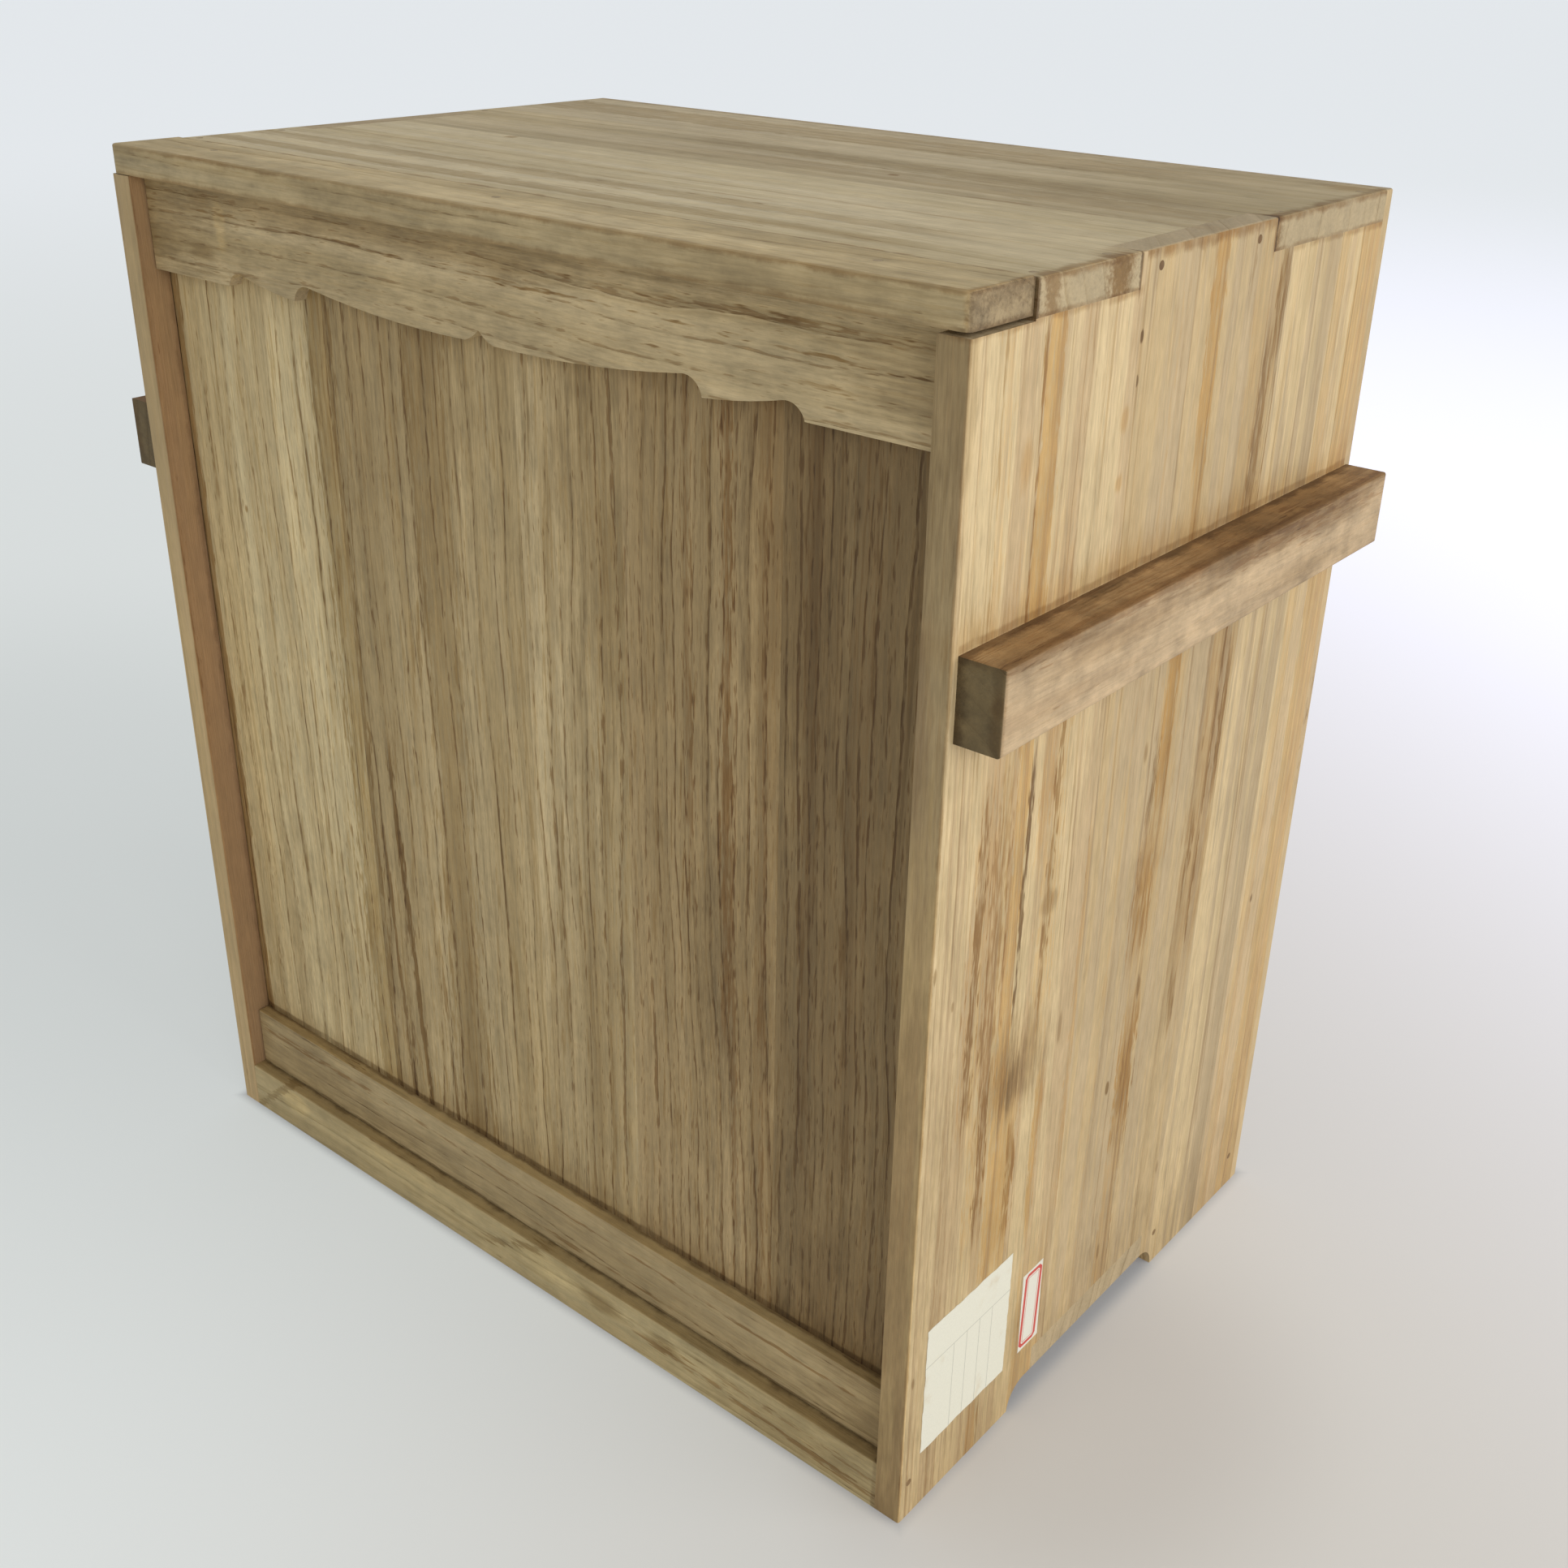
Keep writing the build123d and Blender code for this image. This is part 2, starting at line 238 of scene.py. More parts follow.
class Wood(Finish):
    """Solid wood: growth rings round a pith line, pores, fibre, tone, streaks and soil, with
    painted shade and light in places.

    board gives the axes that run across the grain, along it and through the thickness:
    u, v and w in millimetres. The rings go right through, so all faces of a plank agree.
    """

    def __init__(self, name, board, seed):
        super().__init__(name)
        self.seed = seed
        in_mm = self.axes(self.scaled(self.object_place, IN_MM, NO_SHIFT))
        normal = self.axes(self.object_normal)
        self.u, self.v, self.w = (in_mm[axis] for axis in board)
        self.facing = [normal[axis] for axis in board]
        self.place = self.vector(self.u, self.v, self.w)
        self.end_grain = abs(self.facing[ALONG]).step(0.55, 0.85)
        self.fibre = self.uneven((2.6, 0.05, 2.6), 1, detail=3.0)
        self.ragged = self.uneven((0.42, 0.016, 0.42), 2, detail=5.0, roughness=0.72)
        self.torn = self.uneven((0.75, 0.05, 0.75), 9, detail=3.0, roughness=0.6)
        self.dashes = self.uneven((1.3, 0.15, 1.3), 12, detail=1.5)
        self.broad = self.uneven((0.034, 0.0030, 0.034), 3, detail=2.0)
        self.mottle = self.uneven((0.10, 0.035, 0.10), 4, detail=4.0, roughness=0.6)
        self.grime = self.uneven((0.13, 0.10, 0.13), 15, detail=5.0, roughness=0.65)

    def uneven(self, scales, seed, detail=2.0, roughness=0.5, vector=None):
        """Noise that mostly lies between -1 and 1."""
        place = vector or self.place
        noise = self.noise(place, scales, self.seed + seed * 7.0, detail, roughness)
        return (noise - 0.5) * NOISE_SPREAD

    def grow(self, pith, spacing, dip=0.0, sway=6.0, ripple=1.0, halo=2.4, rows=0.5):
        """Works out the ring lines and pore rows about a pith line at (u, w) where v is 0.

        dip sinks the pith line along the board, sway and ripple bend the rings, halo is
        the width of the soft side of a ring line, and rows is how many pores there are.
        """
        swing = self.uneven((0.010, 0.0030, 0.010), 5, detail=1.0)
        waver = self.uneven((0.07, 0.016, 0.07), 6, detail=3.0)
        moved = self.u - pith[0] + swing * sway + waver * ripple
        sunk = self.w - pith[1] + self.v * dip
        radius = (moved * moved + sunk * sunk) ** 0.5
        years = self.uneven((0.05, 0.0, 0.0), 7, vector=self.vector(radius, 0.0, 0.0))
        turns = radius / spacing + years * 0.55
        number = turns.floor()
        past = turns.fraction() * spacing
        chance = self.vector(number, self.seed * 3.7, 0.0)
        self.luck = self.node("TexWhiteNoise", {"noise_dimensions": "3D"}, {"Vector": chance})
        along = self.vector(number * 7.31, self.v, self.seed * 2.3)
        fade = self.uneven((1.0, 0.012, 1.0), 8, vector=along)
        self.line = past.step(0.0, 0.2) * (past.step(halo, 0.2) + past.step(1.0, 0.3)) * 0.6
        self.line = self.line * ((self.luck * 0.7 + 0.3) * (fade * 0.5 + 0.75)).most(0.0)
        near = past.step(0.0, 0.15) * past.step(1.4, 0.5)
        self.rows = (self.dashes + near * (fade * 0.6 + 0.9) - 1.5 + rows).step(-0.3, 0.6)
        bent = self.vector(radius, self.v, 0.0)
        self.bands = self.uneven((0.16, 0.0022, 0.0), 13, roughness=0.6, vector=bent)
        self.streaks = self.uneven((0.34, 0.0045, 0.0), 14, detail=3.0, vector=bent)
        self.smears = (self.torn * 0.7 + self.ragged * 0.7).step(0.1, 0.8)
        self.veins = self.uneven((0.80, 0.0040, 0.0), 16, detail=1.0, vector=bent).step(0.65, 1.1)
        return self

    def tinted(self, under, tint, share):
        """Stains a colour by a share; the tint multiplies it."""
        return self.mix(under, tint, share, blend="MULTIPLY")

    def streak(self, at, half, low, high, strength, edge=1.0, gaps=0.35, lean=0.0):
        """A ragged mark along the grain, centred at u = at where v is 0."""
        off = abs(self.u - at + self.v * lean) - half
        blur = max(0.3, edge * 0.4)
        rough = self.ragged * edge + self.torn * (edge * 1.5) + self.dashes * (edge * 0.9)
        mask = (rough - off).step(-blur, blur)
        drift = self.v + self.ragged * 14.0
        fade = 5 + half * 3
        if low > FADES_ABOVE:
            mask = mask * drift.step(low - fade, low + fade)
        if high < FADES_BELOW:
            mask = mask * drift.step(high + fade, high - fade)
        if gaps:
            grain = self.torn * 0.5 + self.ragged * 0.2 + self.dashes * 0.4
            mask = mask * (grain + 1.15 - gaps).most(0.0).least(1.0)
        return mask * strength

    def patch(self, at, size, strength, soft=0.5):
        """A blotch round (u, v), with a half size along each."""
        off_u = (self.u - at[0]) / size[0]
        off_v = (self.v - at[1]) / size[1]
        off = (off_u * off_u + off_v * off_v) ** 0.5
        off = off + self.ragged * (0.4 * soft) + self.torn * (0.5 * soft)
        off = off + self.mottle * (0.3 * soft)
        return off.step(1.0 + soft * 0.6, 1.0 - soft) * strength

    def across(self, at, half, low, high, strength, gaps=0.3):
        """A thin broken line across the grain, at v = at from u = low to high."""
        off = abs(self.v - at + self.mottle * half * 0.4) - half
        mask = off.step(0.7, -0.5) * self.u.step(low - 0.5, low + 0.5)
        mask = mask * self.u.step(high + 0.5, high - 0.5)
        return mask * (self.mottle * 0.5 + 1.1 - gaps).most(0.0).least(1.0) * strength

    def rim(self, axis, at, half, strength, gaps=0.3):
        """Darkens along an arris or crease, on the faces that end there and don't look along that
        axis: dirt in some places, painted shade in creases and gaps in others.
        """
        off = abs((self.u, self.v, self.w)[axis] - at) + self.grime * (half * 0.5)
        mask = off.step(half * 1.5, half * 0.4) * (1 - abs(self.facing[axis]).step(0.5, 0.9))
        return mask * (self.mottle * 0.6 + 1.1 - gaps).most(0.0).least(1.0) * strength

    def stain(self, under, tint, shown, streaks=(), patches=(), lines=(), rims=(), spills=()):
        """Lays streaks, blotches, cross lines, darkened arrises and spills of one tint; some are
        painted shade, and some painted light.
        """
        marks = [self.streak(*row) for row in streaks]
        marks += [self.patch(*row) for row in (*patches, *spills)]
        marks += [self.across(*row) for row in lines]
        marks += [self.rim(*row) for row in rims]
        mask = marks[0]
        for mark in marks[1:]:
            mask = mask.most(mark)
        return self.tinted(under, tint, mask * shown)


# Wood tints, as they look in plain light
CREAM = srgb(218, 193, 147)
STRAW = srgb(206, 180, 135)
PINKISH = srgb(196, 171, 132)
DRAB = srgb(187, 165, 129)
OCHRE_WOOD = srgb(190, 160, 112)
GREY_END = srgb(178, 159, 126)

# Stains, which multiply the wood below. Some of them also lay painted shade, and the pale spot also
# lays painted light
OCHRE = (0.83, 0.66, 0.41, 1.0)
BROWN = (0.55, 0.42, 0.27, 1.0)
UMBER = (0.50, 0.40, 0.26, 1.0)
DARK = (0.34, 0.27, 0.19, 1.0)
SOIL = (0.62, 0.55, 0.44, 1.0)
DUST = (0.74, 0.73, 0.70, 1.0)
RING = (0.62, 0.54, 0.40, 1.0)
SOFT_RING = (0.74, 0.66, 0.56, 1.0)
PORE = (0.45, 0.34, 0.22, 1.0)
# painted shade, for the lower parts of the right side and the right part of the top
FOOT_SHADE = (0.87, 0.85, 0.80, 1.0)
# lighter wood, and painted light on the front edges of the sides
PALE_SPOT = (1.32, 1.30, 1.22, 1.0)

# Faces that differ from the rest of their plank, two of them by painted shade, and end grain
# painted shade: the right side's front edge, which faces away from the window, made darker
RIGHT_FRONT_EDGE_SHADE = (0.62, 0.59, 0.53, 1.0)
# painted shadow: the end face inside the arch of the right side's foot, nearly black
ARCH_END_SHADOW = (0.06, 0.05, 0.04, 1.0)
LEFT_INSIDE = (0.80, 0.68, 0.62, 1.0)
LEFT_FRONT_EDGE = (0.98, 0.97, 0.90, 1.0)
BATTEN_TOP = (0.95, 0.90, 0.76, 1.0)
RAIL_TOP = (0.66, 0.60, 0.51, 1.0)
HANDLE_TOP = (0.80, 0.69, 0.51, 1.0)
CAP_END = srgb(158, 138, 106)
HANDLE_END = srgb(108, 92, 58)

# Paper
CREAM_PAPER = srgb(232, 229, 212)
WHITE_PAPER = srgb(232, 228, 214)
PAPER_BLOT = (0.66, 0.55, 0.36, 1.0)
FAINT_RULE = srgb(150, 148, 135)
RED_BORDER = srgb(206, 74, 66)

# The kinds of mark that also lie on end grain
OVER_END_GRAIN = ("rims", "spills")

# A streak from BELOW or to END runs off the board. Only an end between the other two
# limits fades.
BELOW, END = -60, 999
FADES_ABOVE, FADES_BELOW = -50, 450


def plank(name, board, seed, pith, spacing, pale, deep, line=0.5, pores=0.5, tone=0.6,
          years=0.2, split=0.0, bands=0.10, streaks=0.07, veins=0.3, smears=0.2, torn=0.07,
          dashes=0.04, mottle=0.06, grime=0.03, ring=RING, stains=(), faces=(), end=GREY_END,
          end_share=0.8, end_line=0.6, inside=0, **growth):
    """One plank's finish. board gives its across, grain and depth axes.

    The numbers from line to grime are how strongly each feature of the wood shows.
    stains are (tint, marks); faces are (axis, sign, tint, share) for the sides that
    look along that axis of the board. inside is the sign of the depth axis on the face
    that looks into the box, which no stain reaches.
    """
    wood = Wood(name, board, seed).grow(pith, spacing, **growth)
    worn = wood.broad * tone + wood.bands * 0.35 + (wood.luck - 0.5) * years + 0.5
    if split:
        worn = worn + ((wood.streaks + wood.bands * 0.7).step(-0.3, 0.3) - 0.5) * split
    colour = wood.mix(pale, deep, worn.step(-0.1, 1.1))
    marks = (wood.line * line).most(wood.veins * veins).most(wood.smears * smears)
    colour = wood.tinted(colour, ring, marks)
    shown = 1 - (wood.facing[THROUGH] * inside).step(0.4, 0.8) if inside else 1.0
    for tint, marks in stains:
        under_end = {kind: rows for kind, rows in marks.items() if kind not in OVER_END_GRAIN}
        if under_end:
            colour = wood.stain(colour, tint, shown, **under_end)
    specks = wood.rows * pores
    colour = wood.tinted(colour, PORE, specks)
    grey = wood.tinted(end, RING, wood.line * end_line)
    colour = wood.mix(colour, grey, wood.end_grain * end_share)
    for axis, sign, tint, share in faces:
        colour = wood.tinted(colour, tint, (wood.facing[axis] * sign).step(0.45, 0.9) * share)
    for tint, marks in stains:
        over_end = {kind: rows for kind, rows in marks.items() if kind in OVER_END_GRAIN}
        if over_end:
            colour = wood.stain(colour, tint, shown, **over_end)
    light = wood.fibre * 0.04 + wood.torn * torn + wood.dashes * dashes + wood.bands * bands
    light = light + wood.streaks * streaks + wood.mottle * mottle + wood.grime * grime + 1.0
    colour = wood.tinted(colour, wood.vector(light, light, light), 1.0)
    wood.set(Base_Color=colour, Roughness=wood.fibre * 0.05 + 0.66, Specular_IOR_Level=0.35)
    wood.bump(wood.fibre * 0.12 - specks * 0.8 - wood.line * 0.4 + wood.torn * 0.12, 0.26)
    return wood


def paint(node, finish):
    """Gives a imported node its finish."""
    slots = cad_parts[node].data.materials
    slots.clear()
    slots.append(finish.material)


def from_edge(edge, rows):
    """Moves marks that are written as distances from an edge to their place."""
    return [(edge + row[0], *row[1:]) for row in rows]


def dress_right_side():
    """The sunny side: cream and pinkish planks with ochre streaks and brown smudges."""
    side = {"board": SIDE, "ring": SOFT_RING, "rows": -0.4, "halo": 3.0, "sway": 2.6,
            "ripple": 0.5, "line": 0.5, "years": 0.25, "split": 0.75, "pores": 0.45,
            "streaks": 0.10, "veins": 0.8, "tone": 0.35, "smears": 0.5, "dashes": 0.07,
            "inside": -1}
    # painted shade on the front plank's front edge, which faces away from the window
    front_edge_shade = [(ACROSS, -1, RIGHT_FRONT_EDGE_SHADE, 1.0)]
    handle_soil = (OCHRE, {"patches": [((0.0, 314.0), (150.0, 7.0), 0.5, 0.9)]})
    handle_line = (BROWN, {"lines": [(313.3, 1.1, BAR_FRONT, -BAR_FRONT, 0.6, 0.2)]})
    # every plank darker along its foot
    darker_foot = (SOIL, {"patches": [((0.0, 0.0), (220.0, 44.0), 0.35, 0.7)]})
    joint_soil = (BROWN, {"rims": [(ALONG, TOP_BOARD_UNDER, 1.5, 0.75, 0.5)]})
    finger_soil = (BROWN, {"rims": [(ALONG, CASE_TOP, 2.6, 0.90, 0.3)],
                           "spills": [((FINGER_FRONT, 399.0), (1.0, 7.0), 0.9, 0.4),
                                      ((FINGER_BACK, 399.0), (1.0, 7.0), 0.8, 0.4)]})
    # painted shadow on the end face inside the foot's arch
    arch_end_shadow = [(ACROSS, -1, ARCH_END_SHADOW, 1.0)]
    # painted shade: the front plank darker low down, where less light reaches
    painted_low_shade = (FOOT_SHADE, {"patches": [((-90.0, 40.0), (80.0, 230.0), 1.0, 0.9)]})
    # dirt along the front and outer arrises and a smudge at the top front, and painted light: the
    # front edge paler low down, where the floor lights it
    arris = [(BROWN, {"rims": [(ACROSS, FRONT, 0.7, 0.75, 0.45),
                               (THROUGH, CASE_RIGHT, 0.7, 0.6, 0.3)]}),
             (SOIL, {"patches": [((-119.5, 392.0), (3.0, 60.0), 0.5, 0.8)]}),
             (PALE_SPOT, {"patches": [((FRONT, 60.0), (0.7, 210.0), 0.95, 0.25)]})]
    ochre = from_edge(FRONT, [
        (39.0, 4.4, 296, END, 0.85, 1.2, 0.15),
        (23.5, 4.5, 140, 268, 0.50, 2.2, 0.4),
        (33.0, 6.0, 96, 272, 0.55, 2.4, 0.4),
        (60.5, 4.0, 160, 300, 0.50, 2.0, 0.4),
        (18.0, 2.0, 300, END, 0.35, 1.4, 0.5),
        (43.0, 13.0, 290, 334, 0.45, 2.2, 0.45),
        (41.3, 3.6, 82, 300, 0.80, 1.1, 0.2),
        (54.0, 3.2, 232, 274, 0.70, 1.2, 0.35),
        (47.0, 6.5, 72, 150, 0.90, 1.3, 0.2),
        (66.3, 1.8, 84, 150, 0.85, 0.8, 0.2),
        (73.0, 8.0, BELOW, 66, 0.60, 1.4, 0.3),
        (41.0, 3.2, BELOW, 24, 0.70, 0.8, 0.2),
        (84.0, 1.2, 84, 230, 0.60, 0.8, 0.4),
    ])
    ochre_spots = [((-92.0, 357.0), (3.0, 8.0), 0.6), ((-43.5, 359.0), (2.2, 4.0), 0.6),
                   ((-43.0, 341.0), (2.0, 3.0), 0.6)]
    brown = from_edge(FRONT, [
        (22.5, 1.6, 148, 262, 0.90, 1.2, 0.45),
        (32.5, 3.4, 140, 266, 0.75, 1.8, 0.7),
        (33.5, 1.9, 106, 170, 0.95, 1.2, 0.4),
        (60.5, 1.2, 168, 300, 0.85, 1.1, 0.4),
        (34.3, 0.5, 300, END, 0.65, 0.5, 0.3),
        (51.5, 1.6, 90, 140, 0.7, 1.0, 0.4),
        (16.0, 0.4, BELOW, 400, 0.45, 0.5, 0.5),
        (57.0, 0.4, 300, 400, 0.50, 0.4, 0.4),
        (45.0, 0.5, BELOW, 24, 0.75, 0.4, 0.1),
        (12.0, 1.0, 60, 180, 0.5, 0.9, 0.6),
    ])
    brown_spots = [((-59.0, 213.0), (5.0, 4.0), 0.5), ((-71.0, 158.0), (14.0, 18.0), 0.70, 0.8),
                   ((-42.5, 399.0), (1.0, 7.0), 0.8, 0.5), ((-117.5, 60.0), (0.8, 2.5), 0.7, 0.4),
                   ((-119.5, 215.0), (0.8, 3.0), 0.7, 0.4), ((-109.5, 200.0), (0.7, 2.0), 0.6, 0.4),
                   ((-45.0, 160.0), (1.2, 6.0), 0.5)]
    dark = from_edge(FRONT, [(45.7, 0.9, 176, 266, 1.0, 0.5, 0.15)])
    plank_1 = plank("right_front_plank", seed=1, pith=(-400, 120), spacing=6.4,
                    pale=srgb(224, 200, 155), deep=PINKISH, faces=front_edge_shade, **side, stains=[
                        painted_low_shade,
                        (OCHRE, {"streaks": ochre, "patches": ochre_spots}),
                        (UMBER, {"streaks": brown, "patches": brown_spots}),
                        (DARK, {"streaks": dark,
                                "patches": [((-72.0, 155.0), (4.5, 12.0), 0.6, 0.8)]}),
                        joint_soil, handle_soil, handle_line, darker_foot, *arris,
                    ])
    paint("right_side_plank_1", plank_1)
    ochre = from_edge(FRONT, [
        (125.5, 3.8, 330, END, 0.85, 1.1, 0.2),
        (127.0, 6.5, 160, 300, 0.35, 2.2, 0.3),
        (160.0, 9.0, 140, 396, 0.32, 1.8, 0.3),
        (127.0, 2.0, 300, 345, 0.50, 0.8, 0.3),
        (126.5, 3.8, 222, 290, 1.00, 1.1, 0.1),
        (123.0, 5.8, 168, 206, 1.00, 1.5, 0.1),
        (125.5, 5.2, 86, 142, 1.00, 1.5, 0.1),
        (124.5, 4.5, BELOW, 84, 0.55, 1.3, 0.4),
        (104.0, 0.7, BELOW, END, 0.35, 0.6, 0.4),
    ])
    brown = from_edge(FRONT, [
        (168.0, 3.4, 360, 396, 0.95, 0.9, 0.3),
        (163.5, 2.8, 312, 368, 0.85, 0.9, 0.4),
        (170.8, 0.7, 300, END, 0.70, 0.6, 0.3),
        (158.0, 8.5, 140, 290, 0.38, 1.2, 0.35),
        (165.5, 1.7, 208, 266, 1.0, 0.8, 0.2),
        (160.2, 0.6, 150, 300, 0.95, 0.5, 0.2),
        (154.2, 1.7, 172, 206, 0.95, 0.8, 0.3),
        (155.0, 2.2, 128, 146, 0.95, 0.8, 0.3),
        (121.0, 1.8, 216, 246, 0.85, 0.8, 0.3),
        (123.0, 3.4, 164, 226, 0.60, 1.8, 0.6),
        (127.0, 3.2, 76, 142, 0.60, 1.8, 0.6),
        (146.0, 1.2, 382, 398, 0.60, 0.8, 0.3),
        (129.0, 0.4, BELOW, 300, 0.45, 0.5, 0.5),
    ])
    spots = [((-7.5, 245.0), (1.2, 4.0), 0.6), ((1.0, 203.0), (7.0, 6.0), 0.35, 0.9),
             ((7.5, 150.0), (1.1, 4.5), 0.8), ((-7.0, 115.0), (1.3, 3.0), 0.95, 0.3),
             ((4.5, 105.0), (3.5, 6.0), 0.45, 0.9), ((1.0, 36.0), (1.0, 3.5), 0.6),
             ((42.0, 51.0), (1.0, 3.5), 0.5), ((33.0, 234.0), (1.0, 3.6), 0.7)]
    knots = [((-38.5, 381.0), (1.3, 2.2), 1.0, 0.3), ((-38.8, 369.0), (1.0, 1.8), 0.8, 0.3)]
    plank_2 = plank("right_middle_plank", seed=2, pith=(-300, -200), spacing=7.0, pale=STRAW,
                    deep=DRAB, faces=arch_end_shadow, **side, stains=[
                        # painted shade over the plank's lower part
                        (FOOT_SHADE, {"patches": [((0.0, 140.0), (90.0, 130.0), 0.4, 0.9)]}),
                        (OCHRE, {"streaks": ochre}),
                        (UMBER, {"streaks": brown, "patches": spots}),
                        (DARK, {"patches": knots}),
                        finger_soil, handle_soil, handle_line, darker_foot,
                    ])
    paint("right_side_plank_2", plank_2)
    grey = from_edge(FRONT, [
        (186.0, 1.6, BELOW, END, 0.55, 0.8, 0.4),
        (200.0, 5.5, BELOW, END, 0.45, 1.0, 0.2),
        (199.5, 2.0, BELOW, 70, 0.60, 0.8, 0.3),
    ])
    plank_3 = plank("right_light_plank", seed=3, pith=(300, -90), spacing=6.6, pale=CREAM,
                    deep=DRAB, **side, stains=[
                        (DUST, {"streaks": grey,
                                "patches": [((66.0, 205.0), (12.0, 16.0), 0.5, 1.0)]}),
                        joint_soil, handle_soil, handle_line, darker_foot,
                    ])
    paint("right_side_plank_3", plank_3)
    ochre = from_edge(FRONT, [
        (230.0, 7.6, BELOW, END, 0.55, 0.6, 0.1),
        (210.5, 3.0, BELOW, END, 0.35, 0.8, 0.2),
        (210.0, 3.5, 60, 122, 0.35, 1.4, 0.3),
    ])
    plank_4 = plank("right_back_plank", seed=4, pith=(400, 60), spacing=9.0, pale=CREAM,
                    deep=PINKISH, **side, stains=[
                        (OCHRE, {"streaks": ochre, "patches": [((111.0, 32.0), (8.0, 14.0), 0.4)]}),
                        (DARK, {"patches": [((93.0, 148.0), (1.0, 2.0), 0.8)]}),
                        joint_soil, handle_soil, handle_line, darker_foot,
                    ])
    paint("right_side_plank_4", plank_4)


def dress_left_side():
    """The shaded side, plainer, with its inner face a little redder."""
    faces = [(THROUGH, 1, LEFT_INSIDE, 1.0), (ACROSS, -1, LEFT_FRONT_EDGE, 1.0)]
    # painted shade in the crease where the inner face meets the lid
    corner_shade = (DARK, {"rims": [(ACROSS, LID_FACE + 0.5, 1.6, 0.45, 0.2)]})
    arris = (BROWN, {"rims": [(ACROSS, FRONT, 0.6, 0.5, 0.5),
                              (THROUGH, -CASE_INSIDE, 0.5, 0.5, 0.4)]})
    # painted light: the front edge paler low down, where the floor lights it
    pale_low_edge = (PALE_SPOT, {"patches": [((FRONT, 60.0), (0.7, 210.0), 0.7, 0.25)]})
    tones = ((STRAW, PINKISH), (CREAM, STRAW), (STRAW, OCHRE_WOOD))
    for number, (pale, deep) in enumerate(tones, 1):
        ochre = [(-92.0 + 74.0 * number, 4.0, 40, 330, 0.6, 1.4, 0.4),
                 (-70.0 + 74.0 * number, 1.2, BELOW, 210, 0.5, 1.0, 0.4)]
        left = plank(f"left_plank_{number}", SIDE, 10 + number, (-260 + 90 * number, 80), 6.4,
                     pale, deep, line=0.5, rows=-0.3, pores=0.45, halo=3.0, split=0.5,
                     streaks=0.09, veins=0.5, ring=SOFT_RING, faces=faces,
                     stains=[(OCHRE, {"streaks": ochre}), corner_shade, arris, pale_low_edge])
        paint(f"left_side_plank_{number}", left)


